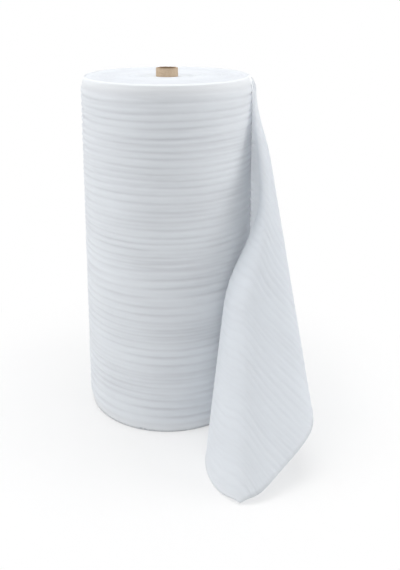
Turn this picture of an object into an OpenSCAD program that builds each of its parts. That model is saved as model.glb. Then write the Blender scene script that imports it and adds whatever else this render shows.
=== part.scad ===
// A roll of ribbed foam wrap standing on end on the floor, wound on a cardboard core,
// with the outer end of the foam hanging loose beside it.
// Sizes are in millimetres. The core's axis is Z, the floor is z = 0, and the loose
// end leaves the roll on the +X side and falls toward -Y.

/* [Roll] */
// Diameter of the wound foam over the crests of the ribs
roll_d = 500; // [400:10:600]
// Width of the foam, which is the height of the standing roll
web_w = 1000; // [800:10:1200]
// Thickness of one layer of foam
web_t = 3; // [2:0.5:4]
// Height of the soft rounding at both rims of the roll
rim_h = 14; // [10:1:20]
// How far the rounding takes the rim inward
rim_in = 11; // [6:1:14]

/* [Ribs] */
// Number of ribs across the foam
rib_n = 43; // [20:1:43]
// Depth of the ribs on the roll, where the layers add up
rib_depth = 4; // [2:0.5:5]
// Depth of the ribs in the single loose layer
loose_rib_depth = 2; // [0.5:0.5:2.5]

/* [Turns on the top face] */
// Number of grooves between the turns that show on the top face
groove_n = 9; // [4:1:12]
// Width of each groove
groove_w = 5; // [3:0.5:8]
// Depth of each groove
groove_deep = 2; // [1:0.5:4]

/* [Core] */
// Outer diameter of the cardboard tube
core_d = 64; // [50:1:90]
// Wall of the cardboard tube
core_wall = 6; // [3:0.5:8]
// How far the tube stands above the top face
core_proud = 20; // [5:1:40]
// Clearance between the tube and the innermost turn
core_gap = 0.3; // [0.2:0.1:1]

/* [Loose end] */
// Length of foam from where it leaves the roll to its cut end
loose_len = 650; // [600:10:680]
// Slack between the roll and the loose end where it first leaves
slack = 6; // [5:1:12]

/* [Hidden] */
roll_r = roll_d / 2;
core_r = core_d / 2;
bore_r = core_r + core_gap;

// The lower edge of the loose end stands on the floor. Each entry is the share of the
// loose length, then x and y in roll radii.
floor_edge = [
    [0, 1, 0], [0.2, 0.85, -0.53], [0.35, 0.655, -0.85], [0.48, 0.545, -1.16],
    [0.62, 0.515, -1.48], [0.76, 0.575, -1.78], [0.88, 0.7, -2.0], [1, 0.88, -2.14]
];
// The cut end lifts slowly off the floor and turns back behind. Each entry is the share
// of the web width, then x and y in roll radii and z in web widths.
cut_edge = [
    [0.09, 1.07, -2.07, 0.022], [0.18, 1.28, -1.9, 0.058], [0.27, 1.5, -1.7, 0.094],
    [0.34, 1.63, -1.49, 0.124], [0.44, 1.585, -1.12, 0.175], [0.56, 1.51, -0.64, 0.235],
    [0.7, 1.43, -0.08, 0.295], [0.85, 1.35, 0.48, 0.35], [1, 1.28, 1.02, 0.41]
];

// The loose foam hangs in a cone of straight lines from a point just above the rim.
hang_up = 40;
hang = [roll_r, 0, web_w + hang_up];
edge_flat = concat(
    [for (e = floor_edge) [e[0] * loose_len, web_w + hang_up]],
    [for (e = cut_edge) [loose_len, web_w * (1 - e[0]) + hang_up]]
);
edge_solid = concat(
    [for (e = floor_edge) [e[1] * roll_r, e[2] * roll_r, 0]],
    [for (e = cut_edge) [e[1] * roll_r, e[2] * roll_r, e[3] * web_w]]
);
edge_n = len(edge_flat);
turn = [for (e = edge_flat) atan2(e[0], e[1])];
ray = [for (i = [0:edge_n - 1]) (edge_solid[i] - hang) / norm(edge_flat[i])];
grade = [
    for (i = [0:edge_n - 1])
        let (a = max(i - 1, 0), b = min(i + 1, edge_n - 1))
        (ray[b] - ray[a]) / (turn[b] - turn[a])
];

function clamp(v, lo, hi) = min(max(v, lo), hi);
function ease(a, b, v) = let (u = clamp((v - a) / (b - a), 0, 1)) u * u * (3 - 2 * u);

// Direction of the straight line at a turn angle, by a cubic between the edge points
function span_of(t, i = 0) = (i >= edge_n - 2 || t < turn[i + 1]) ? i : span_of(t, i + 1);
function ray_at(t) =
    let (
        i = span_of(t),
        w = turn[i + 1] - turn[i],
        u = (t - turn[i]) / w,
        v = u * u * (3 - 2 * u)
    )
    ray[i] * (1 - v) + ray[i + 1] * v
    + grade[i] * w * u * (1 - u) * (1 - u)
    - grade[i + 1] * w * u * u * (1 - u);

// Point of the loose foam at distance s from the roll and height h across the web
function hung(s, h) =
    let (d = web_w + hang_up - h)
    hang + norm([s, d]) * ray_at(atan2(s, d));

// High up, the loose foam is drawn over to the right and lies closer to the roll.
// Heights are shares of the web width and run_in is a share of the loose length.
fold_x = 0.72;
draw_from = 0.4;
draw_to = 0.7;
draw_share = 0.65;
run_in = 0.17;
cling_from = 0.82;
cling_share = 0.8;
function drawn(p, s) =
    let (
        z = p[2] / web_w,
        far = roll_r + fold_x * roll_r * (1 - z),
        share = draw_share * ease(draw_from, draw_to, z) * ease(0, run_in, s / loose_len),
        x = p[0] < far ? p[0] + share * (far - p[0]) : p[0],
        close = 1 - cling_share * ease(cling_from, 1, z)
    )
    [x > roll_r ? roll_r + (x - roll_r) * close : x, p[1], p[2]];

// The loose foam never comes nearer to the roll than its slack
slack_run = 60;
function clear(p, s) =
    let (
        r = norm([p[0], p[1]]),
        least = roll_r + slack * min(1, s / slack_run),
        k = max(1, least / r)
    )
    [p[0] * k, p[1] * k, max(p[2], foot)];

function loose(s, h) = clear(drawn(hung(s, h), s), s);

// Rows run up the web: a rounded rim, crests and valleys by turns, a rounded rim.
// Each row is its height, how deep it lies on the roll and how deep on the loose foam.
foot = 1.5;
rim_mid = 5;
rim_mid_in = rib_depth + 1.5;
rib_pitch = (web_w - 2 * rim_h) / rib_n;
rows = concat(
    [[foot, rim_in, 0], [rim_mid, rim_mid_in, 0]],
    [for (k = [0:2 * rib_n])
        [rim_h + k * rib_pitch / 2,
         k % 2 == 0 ? rib_depth : 0,
         k % 2 == 0 ? loose_rib_depth : 0]],
    [[web_w - rim_mid, rim_mid_in, 0], [web_w, rim_in, 0]]
);
row_n = len(rows);

// Columns run along the web: once round the roll, then out along the loose end
col_n = 36;
loose_s = [for (f = [0, 0.02, 0.05, 0.1, 0.17, 0.25, 0.34, 0.44, 0.55, 0.66, 0.77, 0.88, 1])
    f * loose_len];
loose_n = len(loose_s);

function unit(v) = v / norm(v);
normal_step = 12;
function outward(s, h, before, here, after) =
    let (
        along = unit(here - before) + unit(after - here),
        up = loose(s, min(h + normal_step, web_w)) - loose(s, max(h - normal_step, foot))
    )
    unit(cross(up, along));

// One row of the outer skin: round the roll, out on the outer face, back on the inner
function skin_row(row) =
    let (
        z = row[0],
        mid = [for (s = loose_s) loose(s, z)],
        last = loose_n - 1,
        n = [for (k = [1:last])
            outward(loose_s[k], z, mid[k - 1], mid[k],
                    k < last ? mid[k + 1] : 2 * mid[k] - mid[k - 1])],
        outer = [for (k = [1:last]) mid[k] - n[k - 1] * row[2]]
    )
    concat(
        [for (j = [0:col_n - 1])
            let (a = -360 * j / col_n, r = roll_r - web_t * (1 - j / col_n) - row[1])
            [r * cos(a), r * sin(a), z]],
        [[roll_r - row[1], 0, z]],
        outer,
        [for (k = [last:-1:1]) outer[k - 1] - n[k - 1] * web_t]
    );

skin = [for (row = rows) skin_row(row)];
ring_n = len(skin[0]);
skin_in = 30;
wall = [
    for (z = [foot, web_w])
        [for (j = [0:col_n - 1])
            let (a = -360 * j / col_n)
            [(roll_r - skin_in) * cos(a), (roll_r - skin_in) * sin(a), z]]
];
skin_points = [
    for (ring = skin)
        for (p = ring) p,
    for (ring = wall)
        for (p = ring) p
];

wall_low = row_n * ring_n;
wall_high = wall_low + col_n;
function flip(tris, on) = on ? [for (t = tris) [t[2], t[1], t[0]]] : tris;

// The end of the skin at one row: a ring on the roll and a strip along the loose end
function end_faces(start, inner, down) = flip(concat(
    [for (j = [0:col_n - 2])
        for (t = [[start + j, start + j + 1, inner + j + 1],
                  [start + j, inner + j + 1, inner + j]]) t],
    [[start + col_n - 1, start + col_n, start],
     [start + col_n - 1, start, inner],
     [start + col_n - 1, inner, inner + col_n - 1]],
    [[start + col_n, start + col_n + 1, start + ring_n - 1],
     [start + col_n, start + ring_n - 1, start]],
    [for (k = [1:loose_n - 2])
        let (a = start + col_n + k, b = start + ring_n - k)
        for (t = [[a, a + 1, b - 1], [a, b - 1, b]]) t]
), down);

skin_faces = concat(
    [for (i = [0:row_n - 2])
        for (j = [0:ring_n - 1])
            let (
                a = i * ring_n + j,
                b = i * ring_n + (j + 1) % ring_n
            )
            for (t = [[a, b, b + ring_n], [a, b + ring_n, a + ring_n]]) t],
    [for (j = [0:col_n - 1])
        let (a = wall_low + j, b = wall_low + (j + 1) % col_n)
        for (t = [[a, b + col_n, b], [a, a + col_n, b + col_n]]) t],
    end_faces((row_n - 1) * ring_n, wall_high, false),
    end_faces(0, wall_low, true)
);

// The inner turns as one exact body, with the grooves between turns on its top face.
// The body laps into the outer skin and lies a little lower than the skin's rim.
lap = 12;
top_step = 2;
turns_r = roll_r - skin_in + lap;
turns_top = web_w - top_step;
groove_step = (roll_r - skin_in - bore_r) / (groove_n + 1);
module inner_turns() {
    rotate_extrude($fn = 96)
        polygon(concat(
            [[bore_r, 0], [turns_r, 0], [turns_r, turns_top]],
            [for (i = [groove_n:-1:1])
                let (r = bore_r + i * groove_step)
                for (p = [[r + groove_w / 2, turns_top],
                          [r, turns_top - groove_deep],
                          [r - groove_w / 2, turns_top]]) p],
            [[bore_r, turns_top]]
        ));
}

module foam_web() {
    color("white")
        union() {
            inner_turns();
            polyhedron(points = skin_points, faces = skin_faces, convexity = 10);
        }
}

cut_over = 1;
module cardboard_core() {
    core_len = web_w + core_proud;
    color("tan")
        difference() {
            cylinder(r = core_r, h = core_len, $fn = 96);
            translate([0, 0, -cut_over])
                cylinder(r = core_r - core_wall, h = core_len + 2 * cut_over, $fn = 96);
        }
}

foam_web();
cardboard_core();
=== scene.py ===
import math

import bpy
import numpy as np
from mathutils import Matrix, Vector


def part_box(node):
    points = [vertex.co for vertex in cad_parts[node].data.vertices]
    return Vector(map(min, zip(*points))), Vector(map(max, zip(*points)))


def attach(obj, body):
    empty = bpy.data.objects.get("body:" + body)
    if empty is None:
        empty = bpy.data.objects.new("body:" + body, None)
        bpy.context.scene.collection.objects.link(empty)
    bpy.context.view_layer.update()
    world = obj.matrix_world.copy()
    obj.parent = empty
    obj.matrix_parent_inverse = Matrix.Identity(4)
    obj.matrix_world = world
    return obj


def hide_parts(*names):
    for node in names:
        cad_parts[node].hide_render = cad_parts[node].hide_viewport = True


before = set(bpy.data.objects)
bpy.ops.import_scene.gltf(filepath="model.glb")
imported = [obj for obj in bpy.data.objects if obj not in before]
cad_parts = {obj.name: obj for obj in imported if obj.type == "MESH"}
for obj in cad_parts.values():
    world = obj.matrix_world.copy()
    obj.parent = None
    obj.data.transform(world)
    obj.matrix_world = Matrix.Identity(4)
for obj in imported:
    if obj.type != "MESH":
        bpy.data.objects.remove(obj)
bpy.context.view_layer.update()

bl_info = {
    "name": "Foam Wrap Roll",
    "version": (1, 0, 0),
    "blender": (4, 5, 0),
    "location": "View3D > Sidebar > Foam Roll",
    "description": "A standing roll of ribbed foam wrap on a cardboard core, its outer end hanging loose",
    "category": "Add Mesh",
}

BODY = "root"
CORE_LOW, CORE_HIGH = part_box("cardboard_core")
CORE_R = float(CORE_HIGH[0] - CORE_LOW[0]) / 2
CORE_TOP = float(CORE_HIGH[2])
WEB_TOP = float(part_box("foam_web")[1][2])


# The sizes and colours that a user would change

class FoamRollSizes(bpy.types.PropertyGroup):
    """Sizes of the roll, its ribs, its loose end and its core"""

    roll_radius: bpy.props.FloatProperty(
        name="Roll radius", description="Radius of the wound foam over the crests of the ribs",
        default=0.25, min=0.2, max=0.3, unit="LENGTH", subtype="DISTANCE")
    web_width: bpy.props.FloatProperty(
        name="Web width", description="Width of the foam, which is the height of the standing roll",
        default=WEB_TOP, min=0.8, max=1.2, unit="LENGTH", subtype="DISTANCE")
    web_thickness: bpy.props.FloatProperty(
        name="Web thickness", description="Thickness of one layer of foam",
        default=0.003, min=0.002, max=0.004, precision=4, unit="LENGTH", subtype="DISTANCE")
    rib_count: bpy.props.IntProperty(
        name="Ribs", description="Number of ribs across the foam", default=43, min=20, max=60)
    rib_depth: bpy.props.FloatProperty(
        name="Rib depth", description="Depth of the ribs on the roll, where the layers add up",
        default=0.0038, min=0.001, max=0.006, precision=4, unit="LENGTH", subtype="DISTANCE")
    loose_rib_depth: bpy.props.FloatProperty(
        name="Loose rib depth", description="Depth of the ribs in the single loose layer",
        default=0.0013, min=0.0, max=0.003, precision=4, unit="LENGTH", subtype="DISTANCE")
    rim_height: bpy.props.FloatProperty(
        name="Rim height", description="Height of the soft rounding at both rims",
        default=0.026, min=0.005, max=0.03, precision=4, unit="LENGTH", subtype="DISTANCE")
    rim_inward: bpy.props.FloatProperty(
        name="Rim inward", description="How far the rounding takes the rim inward",
        default=0.012, min=0.004, max=0.02, precision=4, unit="LENGTH", subtype="DISTANCE")
    loose_length: bpy.props.FloatProperty(
        name="Loose length", description="Length of foam from the roll to its cut end",
        default=0.65, min=0.6, max=0.68, unit="LENGTH", subtype="DISTANCE")
    slack: bpy.props.FloatProperty(
        name="Slack", description="Gap between the roll and the loose end where it leaves",
        default=0.006, min=0.003, max=0.012, precision=4, unit="LENGTH", subtype="DISTANCE")
    core_wall: bpy.props.FloatProperty(
        name="Core wall", description="Wall of the cardboard tube",
        default=0.006, min=0.003, max=0.008, precision=4, unit="LENGTH", subtype="DISTANCE")


class FoamRollColours(bpy.types.PropertyGroup):
    """Colours of the foam, the board and the stage"""

    foam_crest: bpy.props.FloatVectorProperty(
        name="Foam crest", description="Foam on the crests of the ribs", subtype="COLOR", size=3,
        min=0, max=1, default=(0.80, 0.835, 0.875))
    # Painted shade: a darker foam colour put in the rib valleys, on the top face of the turns and in the
    # gaps between them.
    foam_painted_shade: bpy.props.FloatVectorProperty(
        name="Foam valley", description="Foam in the valleys between the ribs", subtype="COLOR",
        size=3, min=0, max=1, default=(0.70, 0.725, 0.765))
    foam_lit: bpy.props.FloatVectorProperty(
        name="Foam, lit through", description="Light that passes through a single layer",
        subtype="COLOR", size=3, min=0, max=1, default=(0.98, 0.985, 0.99))
    # Painted light: a lighter foam colour near both rims, at the root of the loose end and on the roll
    # beside it.
    foam_painted_light: bpy.props.FloatVectorProperty(
        name="Foam edge", description="Foam near its cut edges, where light enters",
        subtype="COLOR", size=3, min=0, max=1, default=(0.88, 0.905, 0.93))
    board: bpy.props.FloatVectorProperty(
        name="Board", description="Kraft board of the core", subtype="COLOR", size=3,
        min=0, max=1, default=(0.62, 0.48, 0.34))
    # Also the painted shade on the tube's inner wall.
    board_fibres_and_shade: bpy.props.FloatVectorProperty(
        name="Board fibres", description="Darker fibres and cut edge of the board",
        subtype="COLOR", size=3, min=0, max=1, default=(0.40, 0.28, 0.18))
    floor: bpy.props.FloatVectorProperty(
        name="Floor", description="Pale floor under the roll", subtype="COLOR", size=3,
        min=0, max=1, default=(0.95, 0.95, 0.95))


def sizes():
    return bpy.context.scene.foam_roll_sizes


def colours():
    return bpy.context.scene.foam_roll_colours


# Numbers along the web

RIB_UNEVEN = 0.26
VALLEY_SHARPNESS = 2.9
THIN_MIX = 0.06  # how much light passes through foam that lies on more foam

def ease(a, b, v):
    """0 below a, 1 above b, with level ends."""
    u = np.clip((v - a) / (b - a), 0.0, 1.0)
    return u * u * (3 - 2 * u)


def ripple(seed, count, *axes):
    """A smooth uneven field from -1 to 1 or so: count waves over pairs of (values, mean rate)."""
    rng = np.random.default_rng(seed)
    total = 0.0
    for _ in range(count):
        phase = rng.uniform(0, 2 * math.pi)
        for values, rate in axes:
            phase = phase + values * rate * rng.uniform(0.45, 1.6) * rng.choice((-1, 1))
        total = total + np.sin(phase)
    return total / math.sqrt(count)


def rib_lines(count, width, rim):
    """Heights of the valleys between the ribs, unevenly spaced."""
    rng = np.random.default_rng(7)
    steps = 1 + RIB_UNEVEN * rng.uniform(-1, 1, count)
    steps *= (width - 2 * rim) / steps.sum()
    return rim + np.concatenate([[0.0], np.cumsum(steps)])


def rib_hollow(height, lines):
    """0 on the crests and 1 in the valleys, with broad crests and narrow valleys."""
    k = np.clip(np.searchsorted(lines, height) - 1, 0, len(lines) - 2)
    share = (height - lines[k]) / (lines[k + 1] - lines[k])
    share = np.clip(share, 0, 1)
    return (0.5 + 0.5 * np.cos(2 * math.pi * share)) ** VALLEY_SHARPNESS


# The loose end is a cone of straight lines from a point just above the rim

HANG_UP = 0.04
FLOOR_EDGE = (  # share of the loose length, then x and y in roll radii
    (0, 1, 0), (0.2, 0.85, -0.53), (0.35, 0.655, -0.85), (0.48, 0.545, -1.16),
    (0.62, 0.515, -1.48), (0.76, 0.575, -1.78), (0.88, 0.7, -2.0), (1, 0.88, -2.14),
)
CUT_EDGE = (  # share of the web width, then x and y in roll radii and z in web widths
    (0.09, 1.07, -2.07, 0.022), (0.18, 1.28, -1.9, 0.058), (0.27, 1.5, -1.7, 0.094),
    (0.34, 1.63, -1.49, 0.124), (0.44, 1.585, -1.12, 0.175), (0.56, 1.51, -0.64, 0.235),
    (0.7, 1.43, -0.08, 0.295), (0.85, 1.35, 0.48, 0.35), (1, 1.28, 1.02, 0.41),
)
FOLD_X, DRAW_FROM, DRAW_TO, DRAW_SHARE, RUN_IN = 0.72, 0.4, 0.7, 0.65, 0.1
CLING_FROM, CLING_SHARE, SLACK_RUN, FOOT = 0.78, 0.9, 0.02, 0.0016
CORNER = 0.02  # how far along its edges a corner of the cut end is rounded


def loose_surface(s, h, size):
    """Points of the loose foam's outer face, at distances s from the roll and heights h."""
    radius, width, length = size.roll_radius, size.web_width, size.loose_length
    hang = np.array([radius, 0, width + HANG_UP])
    flat = [(e[0] * length, width + HANG_UP) for e in FLOOR_EDGE]
    flat += [(length, width * (1 - e[0]) + HANG_UP) for e in CUT_EDGE]
    solid = [(e[1] * radius, e[2] * radius, 0) for e in FLOOR_EDGE]
    solid += [(e[1] * radius, e[2] * radius, e[3] * width) for e in CUT_EDGE]
    flat, solid = np.array(flat), np.array(solid)
    turn = np.arctan2(flat[:, 0], flat[:, 1])
    ray = (solid - hang) / np.linalg.norm(flat, axis=1)[:, None]
    before = np.maximum(np.arange(len(turn)) - 1, 0)
    after = np.minimum(np.arange(len(turn)) + 1, len(turn) - 1)
    grade = (ray[after] - ray[before]) / (turn[after] - turn[before])[:, None]

    s, h = np.meshgrid(s, h, indexing="ij")
    corner = np.clip(1 - np.minimum(h, width - h) / CORNER, 0, 1) ** 2
    s = s - 0.25 * CORNER * corner * (s / length) ** 24
    drop = width + HANG_UP - h
    t = np.arctan2(s, drop)
    i = np.clip(np.searchsorted(turn, t, side="right") - 1, 0, len(turn) - 2)
    step = turn[i + 1] - turn[i]
    u = ((t - turn[i]) / step)[..., None]
    step = step[..., None]
    v = u * u * (3 - 2 * u)
    line = ray[i] * (1 - v) + ray[i + 1] * v
    line = line + grade[i] * step * u * (1 - u) ** 2 - grade[i + 1] * step * u * u * (1 - u)
    p = hang + np.hypot(s, drop)[..., None] * line

    z = p[..., 2] / width
    far = radius + FOLD_X * radius * (1 - z)
    share = DRAW_SHARE * ease(DRAW_FROM, DRAW_TO, z) * ease(0, RUN_IN, s / length)
    x = np.where(p[..., 0] < far, p[..., 0] + share * (far - p[..., 0]), p[..., 0])
    close = 1 - CLING_SHARE * ease(CLING_FROM, 1, z)
    p[..., 0] = np.where(x > radius, radius + (x - radius) * close, x)
    least = radius + size.slack * np.minimum(1, s / SLACK_RUN)
    out = np.maximum(1, least / np.hypot(p[..., 0], p[..., 1]))
    p[..., :2] *= out[..., None]
    p[..., 2] = np.maximum(p[..., 2], FOOT)
    return p


def soften(grid, axis, times):
    """Evens a grid of points along one axis, and keeps its two ends."""
    grid = np.moveaxis(grid, axis, 0).copy()
    for _ in range(times):
        grid[1:-1] = 0.25 * grid[:-2] + 0.5 * grid[1:-1] + 0.25 * grid[2:]
    return np.moveaxis(grid, 0, axis)


def grid_normals(grid):
    """Unit normals of a grid of points, its first axis along the web and its second up it."""
    along = np.gradient(grid, axis=0)
    up = np.gradient(grid, axis=1)
    n = np.cross(up, along)
    return n / np.maximum(np.linalg.norm(n, axis=-1, keepdims=True), 1e-9)


# Meshes

def add_mesh(name, points, faces, layers=None):
    """A new mesh object from points and faces, with float layers stored on its points."""
    mesh = bpy.data.meshes.new(name)
    mesh.from_pydata(np.asarray(points, dtype=float).tolist(), [], faces)
    for key, values in (layers or {}).items():
        layer = mesh.attributes.new(key, "FLOAT", "POINT")
        layer.data.foreach_set("value", np.asarray(values, dtype=np.float32).ravel())
    mesh.validate()
    mesh.update()
    obj = bpy.data.objects.new(name, mesh)
    bpy.context.collection.objects.link(obj)
    mesh.polygons.foreach_set("use_smooth", [True] * len(mesh.polygons))
    return obj


def pick(obj):
    """Only this object is selected and active."""
    bpy.ops.object.select_all(action="DESELECT")
    obj.select_set(True)
    bpy.context.view_layer.objects.active = obj


def outward_faces(obj):
    """Merges doubles and turns all faces outward."""
    pick(obj)
    bpy.ops.object.mode_set(mode="EDIT")
    bpy.ops.mesh.select_all(action="SELECT")
    bpy.ops.mesh.remove_doubles(threshold=1e-6)
    bpy.ops.mesh.normals_make_consistent(inside=False)
    bpy.ops.object.mode_set(mode="OBJECT")


def belong(obj, node, material):
    obj.data.materials.clear()
    obj.data.materials.append(material)
    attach(obj, BODY)
    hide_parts(node)


# Shader maths as expressions

class Value:
    """Wraps a socket, so that expressions on values add their Math nodes."""

    def __init__(self, tree, socket):
        self.tree, self.socket = tree, socket

    def _math(self, operation, *parts):
        return add_node(self.tree, "ShaderNodeMath", {"operation": operation}, list(parts))

    def __add__(self, other):
        return self._math("ADD", self, other)

    def __sub__(self, other):
        return self._math("SUBTRACT", self, other)

    def __mul__(self, other):
        return self._math("MULTIPLY", self, other)

    __radd__ = __add__


def add_node(tree, kind, settings=None, inputs=None, output=0):
    """Adds a node with its settings first and then its inputs, and wraps one output."""
    node = tree.nodes.new(kind)
    for key, value in (settings or {}).items():
        setattr(node, key, value)
    pairs = enumerate(inputs) if isinstance(inputs, list) else (inputs or {}).items()
    for key, value in pairs:
        socket = node.inputs[key]
        if isinstance(value, Value):
            tree.links.new(value.socket, socket)
        elif value is not None:
            size = len(socket.default_value) if hasattr(socket.default_value, "__len__") else 0
            socket.default_value = (*value, 1) if size == 4 and len(value) == 3 else value
    return Value(tree, node.outputs[output])


def mix_colour(tree, share, a, b):
    return add_node(tree, "ShaderNodeMix", {"data_type": "RGBA"},
                    {0: share, 6: a, 7: b}, output=2)


def new_material(name):
    material = bpy.data.materials.new(name)
    material.use_nodes = True
    material.node_tree.nodes.clear()
    return material, material.node_tree


def finish_material(material, shader):
    out = material.node_tree.nodes.new("ShaderNodeOutputMaterial")
    material.node_tree.links.new(shader.socket, out.inputs["Surface"])
    return material


def foam_material(name, through):
    """White closed-cell foam: fine cells, a soft sheen, and light that passes through it."""
    material, tree = new_material(name)
    colour = colours()
    place = add_node(tree, "ShaderNodeTexCoord", output=3)
    hollow = add_node(tree, "ShaderNodeAttribute", {"attribute_name": "hollow"}, output=2)
    cloudy = add_node(tree, "ShaderNodeTexNoise", None,
                      {"Vector": place, "Scale": 9.0, "Detail": 3.0, "Roughness": 0.55})
    flat_place = add_node(tree, "ShaderNodeMapping", None,
                          {"Vector": place, "Scale": (14.0, 14.0, 150.0)})
    streaks = add_node(tree, "ShaderNodeTexNoise", None,
                       {"Vector": flat_place, "Scale": 1.0, "Detail": 4.0, "Roughness": 0.6})
    cells = add_node(tree, "ShaderNodeTexVoronoi", {"feature": "SMOOTH_F1"},
                     {"Vector": place, "Scale": 420.0, "Smoothness": 0.6})
    # Painted shade: the layer of the rib valleys darkens the foam towards the shade colour in the valleys
    # and on the top face; cloudy and streaks are the foam's own uneven tone.
    share = hollow * 0.9 + (cloudy - 0.5) * 0.5 + (streaks - 0.5) * 0.45
    base = mix_colour(tree, share, colour.foam_crest, colour.foam_painted_shade)
    # Painted light: the edge layer lightens the foam near the rims, at the root of the loose end and on
    # the roll beside it.
    edge = add_node(tree, "ShaderNodeAttribute", {"attribute_name": "edge"}, output=2)
    base = mix_colour(tree, edge, base, colour.foam_painted_light)
    height = streaks * 0.5 + cells * -0.35
    bump = add_node(tree, "ShaderNodeBump", None,
                    {"Strength": 0.35, "Distance": 0.0012, "Height": height})
    rough = 0.5 + cloudy * 0.2
    shader = add_node(tree, "ShaderNodeBsdfPrincipled", None, {
        "Base Color": base, "Roughness": rough, "Normal": bump, "IOR": 1.35,
        "Sheen Weight": 0.15, "Sheen Roughness": 0.6})
    if not through:
        return finish_material(material, shader)
    free = add_node(tree, "ShaderNodeAttribute", {"attribute_name": "free"}, output=2)
    lit = add_node(tree, "ShaderNodeBsdfTranslucent", None,
                   {"Color": colour.foam_lit, "Normal": bump})
    return finish_material(material, add_node(
        tree, "ShaderNodeMixShader", None,
        [free * (through - THIN_MIX) + THIN_MIX, shader, lit]))


def board_material():
    """Kraft board: fibres along the winding and darker flecks."""
    material, tree = new_material("kraft_board")
    colour = colours()
    place = add_node(tree, "ShaderNodeTexCoord", output=3)
    streaky = add_node(tree, "ShaderNodeMapping", None,
                       {"Vector": place, "Scale": (60.0, 60.0, 420.0)})
    fibres = add_node(tree, "ShaderNodeTexNoise", None,
                      {"Vector": streaky, "Scale": 1.0, "Detail": 5.0, "Roughness": 0.65})
    flecks = add_node(tree, "ShaderNodeTexNoise", None,
                      {"Vector": place, "Scale": 240.0, "Detail": 2.0})
    # The shade layer: painted shade on the tube's inner wall, the darker board of the cut plies, and a
    # little darkening just below the cut outside.
    edge = add_node(tree, "ShaderNodeAttribute", {"attribute_name": "hollow"}, output=2)
    share = (fibres - 0.35) * 1.1 + (flecks - 0.5) * 0.6 + edge * 0.8
    base = mix_colour(tree, share, colour.board, colour.board_fibres_and_shade)
    bump = add_node(tree, "ShaderNodeBump", None,
                    {"Strength": 0.5, "Distance": 0.0006, "Height": fibres + flecks * 0.5})
    shader = add_node(tree, "ShaderNodeBsdfPrincipled", None, {
        "Base Color": base, "Roughness": 0.75 + fibres * 0.2, "Normal": bump})
    return finish_material(material, shader)


# The stage

CAMERA_PLACE = (0.185, -2.10, 1.230)
CAMERA_YAW, CAMERA_PITCH = math.radians(-2.44), math.radians(12.47)
CAMERA_LENS = 45.97
CAMERA_SHIFT = -0.23


def add_camera():
    data = bpy.data.cameras.new("camera")
    camera = bpy.data.objects.new("camera", data)
    bpy.context.collection.objects.link(camera)
    camera.location = CAMERA_PLACE
    camera.rotation_euler = (math.pi / 2 - CAMERA_PITCH, 0, -CAMERA_YAW)
    data.sensor_width = 36
    data.lens = CAMERA_LENS
    data.shift_y = CAMERA_SHIFT
    bpy.context.scene.camera = camera


def add_softbox(name, place, aim, width, height, power):
    data = bpy.data.lights.new(name, "AREA")
    data.shape, data.size, data.size_y = "RECTANGLE", width, height
    data.energy = power
    lamp = bpy.data.objects.new(name, data)
    bpy.context.collection.objects.link(lamp)
    lamp.location = place
    lamp.rotation_euler = (Vector(aim) - Vector(place)).to_track_quat("-Z", "Y").to_euler()


def seen_share(tree):
    """1 for camera, glossy and transmission rays, and 0 for light that reaches surfaces."""
    path = tree.nodes.new("ShaderNodeLightPath")
    rays = [Value(tree, path.outputs[key])
            for key in ("Is Camera Ray", "Is Glossy Ray", "Is Transmission Ray")]
    return add_node(tree, "ShaderNodeMath", {"operation": "MINIMUM"},
                    [rays[0] + rays[1] + rays[2], 1.0])


def white_world(level):
    world = bpy.data.worlds.new("studio")
    bpy.context.scene.world = world
    world.use_nodes = True
    tree = world.node_tree
    tree.nodes.clear()
    seen = seen_share(tree)
    strength = seen * (1 - level) + level
    back = add_node(tree, "ShaderNodeBackground", None,
                    {"Color": (1, 1, 1), "Strength": strength})
    out = tree.nodes.new("ShaderNodeOutputWorld")
    tree.links.new(back.socket, out.inputs["Surface"])


# Past FLOOR_FAR from the roll the camera sees the floor as plain white, and nearer than
# FLOOR_NEAR it sees the lit floor with a share of white.
FLOOR_NEAR, FLOOR_FAR, FLOOR_SHARE = 0.5, 0.9, 0.42
WORLD_LEVEL = 0.54


def floor_material():
    material, tree = new_material("pale_floor")
    seen = seen_share(tree)
    plain = add_node(tree, "ShaderNodeBsdfDiffuse", None, {"Color": colours().floor})
    bright = add_node(tree, "ShaderNodeEmission", None, {"Color": (1, 1, 1), "Strength": 1.0})
    place = add_node(tree, "ShaderNodeTexCoord", output=3)
    far = add_node(tree, "ShaderNodeVectorMath", {"operation": "LENGTH"}, [place], output=1)
    away = add_node(tree, "ShaderNodeMapRange", {"interpolation_type": "SMOOTHSTEP"},
                    {"Value": far, "From Min": FLOOR_NEAR, "From Max": FLOOR_FAR,
                     "To Min": FLOOR_SHARE, "To Max": 1.0})
    mixed = add_node(tree, "ShaderNodeMixShader", None, [seen * away, plain, bright])
    return finish_material(material, mixed)


class FOAMROLL_OT_stage(bpy.types.Operator):
    """Adds the camera, the soft lights, the white surroundings and the pale floor"""
    bl_idname = "foamroll.stage"
    bl_label = "Add stage"

    def execute(self, context):
        scene = context.scene
        scene.view_settings.view_transform = "Standard"
        add_camera()
        white_world(WORLD_LEVEL)
        add_softbox("left_softbox", (-2.4, -0.7, 1.3), (0, 0, 0.5), 1.6, 2.2, 20)
        add_softbox("right_softbox", (2.6, -0.3, 1.2), (0, 0, 0.5), 1.4, 2.2, 20)
        add_softbox("top_softbox", (0.0, 0.1, 3.2), (0, 0, 0), 2.4, 2.4, 44)
        bpy.ops.object.select_all(action="DESELECT")
        bpy.ops.mesh.primitive_plane_add(size=30, location=(0, 0, 0))
        floor = context.active_object
        floor.name = "floor"
        floor.data.materials.append(floor_material())
        return {"FINISHED"}


# The web is the outermost turn and the loose end, one sheet

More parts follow.
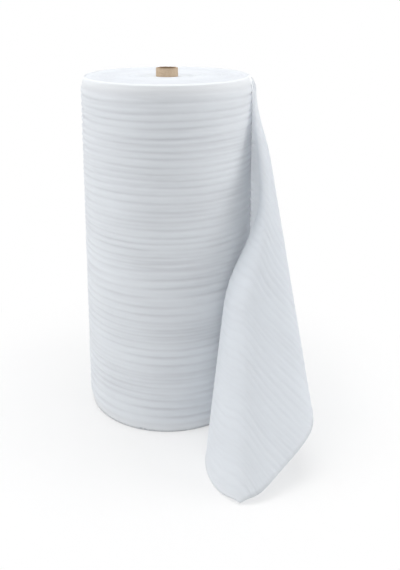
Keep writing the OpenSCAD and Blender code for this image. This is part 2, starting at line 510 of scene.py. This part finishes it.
ROUND_COLUMNS = 104
LOOSE_COLUMNS = 66
WEB_ROWS = 280
RIM_FADE = 0.09  # the soft rim ends this far out on the loose end
JOIN_COLUMNS, EVEN_ALONG, EVEN_UP = 6, 6, 40  # the curve from the roll to the loose end is evened
FREE_RUN = 0.14  # the ribs of the roll become those of the loose end over this length
RIB_WANDER, MINOR_SHARE, FINE_HEIGHT = 0.0022, 0.34, 0.00028
RIB_RIM = 0.006
FLOOR_CLEAR = 0.0005
ROOT_REACH, ROOT_PAINTED_LIGHT = 0.11, 0.8  # near the root of the loose end one layer lets more light through, and painted light makes its colour lighter
# painted light: a lighter foam colour near both rims
RIM_REACH, RIM_PAINTED_LIGHT = 0.03, 0.9
BESIDE_PAINTED_LIGHT = 0.8  # painted light: the roll's colour is lighter beside the loose end, in place of light that comes through it


def rim_inset(edge, size):
    """How far the soft rim lies inward, by the distance from the nearer rim."""
    inset = size.rim_inward * (1 - np.sqrt(np.clip(1 - (1 - edge / size.rim_height) ** 2, 0, 1)))
    return np.where(edge < size.rim_height, inset, 0)


def web_grid(size, h, rim):
    """The smooth web as a grid of points, and how far along the web each column lies."""
    radius, thick = size.roll_radius, size.web_thickness
    t = np.linspace(0, 1, ROUND_COLUMNS + 1)
    angle = -2 * math.pi * t
    r = (radius - thick * (1 - t))[:, None] - rim[None, :]
    wound = np.stack([r * np.cos(angle)[:, None], r * np.sin(angle)[:, None],
                      np.broadcast_to(h, r.shape)], -1)
    s = np.linspace(0, size.loose_length, LOOSE_COLUMNS + 1)[1:]
    hung = loose_surface(s, h, size)
    hung[..., 0] -= rim[None, :] * (1 - ease(0, RIM_FADE, s))[:, None]
    grid = np.concatenate([wound, hung], 0)
    first = ROUND_COLUMNS - JOIN_COLUMNS
    grid[first:] = soften(soften(grid[first:], 0, EVEN_ALONG), 1, EVEN_UP)
    return grid, np.concatenate([t * 2 * math.pi * radius, 2 * math.pi * radius + s])


def web_ribs(run, h, size):
    """How deep the valleys lie as shares of the rib depth, and the fine unevenness."""
    lines = rib_lines(size.rib_count, size.web_width, size.rim_height)
    wander = RIB_WANDER * ripple(3, 7, (run, 9.0), (h, 16.0))
    hollow = rib_hollow(h + wander, lines)
    hollow = hollow * (0.78 + 0.22 * ripple(5, 7, (run, 13.0), (h, 60.0)))
    minor = rib_hollow(h - 0.6 * wander, 0.5 * (lines[:-1] + lines[1:]))
    uneven = 1 + ripple(6, 5, (run, 8.0), (h, 40.0))
    hollow = np.clip(hollow + MINOR_SHARE * minor * uneven, 0, 1.15)
    return hollow, ripple(11, 14, (run, 90.0), (h, 420.0))


def closed_sheet(columns, rows):
    """Faces of a sheet with two sides and four rims, over two grids of points."""
    front = np.arange(columns * rows).reshape(columns, rows)
    back = front + columns * rows
    strips = (
        (front[:-1, :-1], front[:-1, 1:], front[1:, 1:], front[1:, :-1]),
        (back[:-1, :-1], back[1:, :-1], back[1:, 1:], back[:-1, 1:]),
        (front[:-1, -1], back[:-1, -1], back[1:, -1], front[1:, -1]),
        (front[1:, 0], back[1:, 0], back[:-1, 0], front[:-1, 0]),
        (front[0, 1:], front[0, :-1], back[0, :-1], back[0, 1:]),
        (front[-1, :-1], front[-1, 1:], back[-1, 1:], back[-1, :-1]),
    )
    faces = []
    for corners in strips:
        faces.extend(np.stack([corner.ravel() for corner in corners], 1).tolist())
    return faces


def web_layers(size, run, h, edge, free, hollow):
    """Values on the web's points: hollow of the ribs with their painted shade, painted light near the
    rims, at the root of the loose end and beside it, and single layer.
    """
    round_run = 2 * math.pi * size.roll_radius
    root = np.exp(-((run - round_run) / ROOT_REACH) ** 2)[:, None]
    rims = RIM_PAINTED_LIGHT * np.exp(-(edge / RIM_REACH) ** 2)[None, :] * (1 - 0.7 * free)
    beside = BESIDE_PAINTED_LIGHT * (1 - ease(0.05, 0.2, run / round_run))[:, None]
    beside = beside * (1 - ease(0.45, 0.8, h / size.web_width))[None, :]
    layers = {
        # painted shade in the rib valleys, lighter on the loose end
        "hollow": np.clip(hollow, 0, 1) * (1 - 0.45 * free),
        # painted light near the rims, at the root of the loose end and on the roll beside it
        "edge": np.maximum(np.maximum(rims, ROOT_PAINTED_LIGHT * root), beside),
        "free": ease(-0.012, 0.004, run - round_run)[:, None] * (1 + 0.8 * root),
    }
    return {key: np.tile(np.broadcast_to(values, hollow.shape).ravel(), 2)
            for key, values in layers.items()}


class FOAMROLL_OT_web(bpy.types.Operator):
    """Adds the outermost turn of foam and the loose end as one ribbed sheet"""
    bl_idname = "foamroll.web"
    bl_label = "Add foam web"

    def execute(self, context):
        size = sizes()
        width, thick = size.web_width, size.web_thickness
        h = np.linspace(FOOT, width, WEB_ROWS + 1)
        edge = np.minimum(h, width - h)
        grid, run = web_grid(size, h, rim_inset(edge, size))
        run_grid, h_grid = np.meshgrid(run, h, indexing="ij")
        hollow, fine = web_ribs(run_grid, h_grid, size)

        free = ease(0.0, FREE_RUN, run - 2 * math.pi * size.roll_radius)[:, None]
        inside = ease(0, RIB_RIM, edge)[None, :]
        depth = (size.rib_depth * (1 - free) + size.loose_rib_depth * free) * hollow * inside
        depth = depth + FINE_HEIGHT * fine * inside
        depth_in = depth * (1 - free) + (size.loose_rib_depth - depth) * free
        out = grid_normals(grid)
        outer = grid - out * depth[..., None]
        inner = grid - out * (thick + depth_in)[..., None]
        for side in (outer, inner):
            side[..., 2] = np.maximum(side[..., 2], FLOOR_CLEAR)

        web = add_mesh("foam_sheet", np.concatenate([outer.reshape(-1, 3), inner.reshape(-1, 3)]),
                       closed_sheet(*grid.shape[:2]),
                       web_layers(size, run, h, edge, free, hollow * inside))
        outward_faces(web)
        belong(web, "foam_web", foam_material("ribbed_foam", 0.5))
        return {"FINISHED"}


# The inner turns

TURN_COLUMNS = 112
TURN_STEPS = 3
CORE_CLEAR = 0.0003
RIM_CLEAR = 0.0005
TURNS_DROP, RIM_DROP = 0.0026, 0.0016  # below the web's width, over the face and at its rim
GAP_DEPTH = 0.0032
WALL_TOP = 0.985  # share of the web's width below which the wall meets the outermost turn
WALL_FOOT = 0.0012


def turns_spiral(size, bore, limit):
    """Points of the turns' edges on the top face, by column and step, with their shade, which is mostly
    painted shade.
    """
    turns = int(math.ceil((limit - bore) / size.web_thickness)) + 1
    counts = np.arange(turns + 3)
    rng = np.random.default_rng(21)
    lift = np.cumsum(rng.normal(0, 0.0011, turns + 3))
    lift -= np.linspace(lift[0], lift[-1], turns + 3)
    lift = np.clip(lift - lift.mean(), -0.0022, 0.0018)
    gap = rng.uniform(0.35, 1.0, turns + 3) ** 2
    tone = rng.uniform(-1, 1, turns + 3)

    column, step = np.meshgrid(np.arange(TURN_COLUMNS) / TURN_COLUMNS,
                               np.arange(turns * TURN_STEPS + 1), indexing="ij")
    turn = step / TURN_STEPS + column
    angle = -2 * math.pi * column
    radius = np.clip(bore + size.web_thickness * (turn - 1), bore, limit)
    in_gap = (step % TURN_STEPS == 0) * np.interp(turn, counts, gap)
    top = size.web_width - TURNS_DROP + np.interp(turn, counts, lift)
    top = top + 0.0012 * ripple(31, 6, (np.cos(-angle) * radius, 14.0),
                                (np.sin(-angle) * radius, 14.0))
    top = top - in_gap * GAP_DEPTH
    near = ease(limit - 0.03, limit, radius)
    top = top * (1 - near) + (size.web_width - RIM_DROP - in_gap * 0.001) * near
    points = np.stack([radius * np.cos(angle), radius * np.sin(angle),
                       np.minimum(top, size.web_width + 0.001)], -1)
    outer_part = ease(0.53, 0.6, radius / limit)
    # Painted shade: a base share darkens the whole top face and the gaps between turns more; the outer
    # turns are a little darker; the random tone of each turn is the foam's own.
    return points, 0.6 + 0.2 * outer_part + 0.22 * np.interp(turn, counts, tone) + in_gap * 0.5


def spiral_faces(steps):
    """Faces between the columns of a spiral, whose last column meets the first a turn on."""
    faces = []
    wide = steps + 1
    for i in range(TURN_COLUMNS):
        j = (i + 1) % TURN_COLUMNS
        ahead = TURN_STEPS if j == 0 else 0
        for q in range(steps - ahead):
            faces.append((i * wide + q, j * wide + q + ahead,
                          j * wide + q + 1 + ahead, i * wide + q + 1))
    return faces


def extrude_down(obj, height):
    """Extrudes the selected rims to a height, in edit mode, and returns their new points."""
    bpy.ops.mesh.extrude_region_move()
    bpy.ops.object.mode_set(mode="OBJECT")
    lowered = [vertex for vertex in obj.data.vertices if vertex.select]
    for vertex in lowered:
        vertex.co.z = height
    return lowered


class FOAMROLL_OT_turns(bpy.types.Operator):
    """Adds the wound turns inside the outermost one, with the spiral on their top face"""
    bl_idname = "foamroll.turns"
    bl_label = "Add inner turns"

    def execute(self, context):
        size = sizes()
        bore = CORE_R + CORE_CLEAR
        limit = size.roll_radius - size.web_thickness - size.rim_inward - RIM_CLEAR
        points, shade = turns_spiral(size, bore, limit)
        count = points.shape[0] * points.shape[1]
        obj = add_mesh("foam_turns", points.reshape(-1, 3), spiral_faces(points.shape[1] - 1),
                       {"hollow": shade, "edge": np.zeros(count)})
        pick(obj)
        bpy.ops.object.mode_set(mode="EDIT")
        bpy.ops.mesh.select_mode(type="VERT")
        bpy.ops.mesh.select_all(action="SELECT")
        bpy.ops.mesh.remove_doubles(threshold=2e-5)
        bpy.ops.mesh.dissolve_degenerate(threshold=2e-5)
        bpy.ops.mesh.select_all(action="DESELECT")
        bpy.ops.mesh.select_non_manifold()
        wall = size.roll_radius - size.web_thickness * 2 - 1.2 * size.rib_depth
        for vertex in extrude_down(obj, WALL_TOP * size.web_width):
            reach = math.hypot(vertex.co.x, vertex.co.y)
            if reach > (bore + limit) / 2:
                vertex.co.x *= wall / reach
                vertex.co.y *= wall / reach
        bpy.ops.object.mode_set(mode="EDIT")
        extrude_down(obj, WALL_FOOT)
        bpy.ops.object.mode_set(mode="EDIT")
        bpy.ops.mesh.bridge_edge_loops()
        bpy.ops.mesh.select_all(action="SELECT")
        bpy.ops.mesh.normals_make_consistent(inside=False)
        bpy.ops.object.mode_set(mode="OBJECT")
        obj.data.polygons.foreach_set("use_smooth", [True] * len(obj.data.polygons))
        belong(obj, "foam_web", foam_material("wound_foam", 0))
        return {"FINISHED"}


# The core

CORE_PLIES = 6
FRAY_DEPTH = 0.004  # the cut end is uneven down to this far below the top


def fray_top(core, wall, ply):
    """Makes the cut end uneven, ply by ply, and returns a shade for each point, painted shade on the
    tube's inner wall among them.
    """
    shade = []
    for vertex in core.data.vertices:
        point = vertex.co
        reach = math.hypot(point.x, point.y)
        around = math.atan2(point.y, point.x)
        inward = CORE_R - reach
        near_top = max(0.0, 1 - (CORE_TOP - point.z) / FRAY_DEPTH)
        layer_no = round(inward / ply)
        ragged = (math.sin(5 * around + 2.1 * layer_no) + math.sin(13 * around + layer_no)
                  + 0.6 * math.sin(31 * around + 4 * layer_no))
        point.z -= near_top * (0.0004 + 0.00022 * ragged + 0.00035 * (layer_no % 2))
        swell = 1 - near_top * 0.0002 * (1 + math.sin(7 * around)) / CORE_R
        point.x *= swell
        point.y *= swell
        # Painted shade: 1 over the tube's inner wall; 0.45 on the cut end, where the board of the plies
        # is darker; outside, a little darker just below the cut.
        shade.append(1.0 if inward > wall - 0.0004 else
                     0.45 if inward > 0.0004 else 0.25 * near_top)
    return shade


class FOAMROLL_OT_core(bpy.types.Operator):
    """Adds the cardboard tube that the foam is wound on"""
    bl_idname = "foamroll.core"
    bl_label = "Add core"

    def execute(self, context):
        size = sizes()
        bpy.ops.object.select_all(action="DESELECT")
        bpy.ops.mesh.primitive_cylinder_add(
            vertices=128, radius=CORE_R, depth=CORE_TOP, end_fill_type="NOTHING",
            location=(0, 0, CORE_TOP / 2))
        core = context.active_object
        core.name = "core_tube"
        bpy.ops.object.transform_apply(location=True, rotation=True, scale=True)
        wall = core.modifiers.new("wall", "SOLIDIFY")
        wall.thickness, wall.offset = size.core_wall, -1
        bpy.ops.object.modifier_apply(modifier="wall")
        bpy.ops.object.mode_set(mode="EDIT")
        bpy.ops.mesh.select_mode(type="FACE")
        for down in (0.006, 0.0016):
            bpy.ops.mesh.select_all(action="SELECT")
            bpy.ops.mesh.bisect(plane_co=(0, 0, CORE_TOP - down), plane_no=(0, 0, 1))
        bpy.ops.mesh.select_all(action="DESELECT")
        bpy.ops.object.mode_set(mode="OBJECT")
        for face in core.data.polygons:
            face.select = face.normal.z > 0.9 and face.center.z > CORE_TOP / 2
        bpy.ops.object.mode_set(mode="EDIT")
        ply = size.core_wall / CORE_PLIES
        for _ in range(CORE_PLIES // 2):
            bpy.ops.mesh.inset(thickness=ply * 0.8, depth=0)
            bpy.ops.mesh.inset(thickness=ply * 0.16, depth=-0.0005)
        bpy.ops.mesh.select_all(action="DESELECT")
        bpy.ops.object.mode_set(mode="OBJECT")
        shade = fray_top(core, size.core_wall, ply)
        layer = core.data.attributes.new("hollow", "FLOAT", "POINT")
        layer.data.foreach_set("value", shade)
        pick(core)
        bpy.ops.object.shade_smooth_by_angle(angle=math.radians(40))
        belong(core, "cardboard_core", board_material())
        return {"FINISHED"}


class FOAMROLL_PT_panel(bpy.types.Panel):
    """Lists the pieces of the foam roll"""
    bl_idname = "FOAMROLL_PT_panel"
    bl_label = "Foam Roll"
    bl_space_type = "VIEW_3D"
    bl_region_type = "UI"
    bl_category = "Foam Roll"

    def draw(self, context):
        for group in (context.scene.foam_roll_sizes, context.scene.foam_roll_colours):
            for key in group.__annotations__:
                self.layout.prop(group, key)
        for operator in (FOAMROLL_OT_stage, FOAMROLL_OT_core, FOAMROLL_OT_turns, FOAMROLL_OT_web):
            self.layout.operator(operator.bl_idname)


CLASSES = (FoamRollSizes, FoamRollColours, FOAMROLL_OT_stage, FOAMROLL_OT_core,
           FOAMROLL_OT_turns, FOAMROLL_OT_web, FOAMROLL_PT_panel)


def register():
    for item in CLASSES:
        bpy.utils.register_class(item)
    bpy.types.Scene.foam_roll_sizes = bpy.props.PointerProperty(type=FoamRollSizes)
    bpy.types.Scene.foam_roll_colours = bpy.props.PointerProperty(type=FoamRollColours)


def unregister():
    del bpy.types.Scene.foam_roll_colours
    del bpy.types.Scene.foam_roll_sizes
    for item in reversed(CLASSES):
        bpy.utils.unregister_class(item)


def main():
    register()
    bpy.ops.foamroll.stage()
    bpy.ops.foamroll.core()
    bpy.ops.foamroll.turns()
    bpy.ops.foamroll.web()


if __name__ == "__main__":
    main()
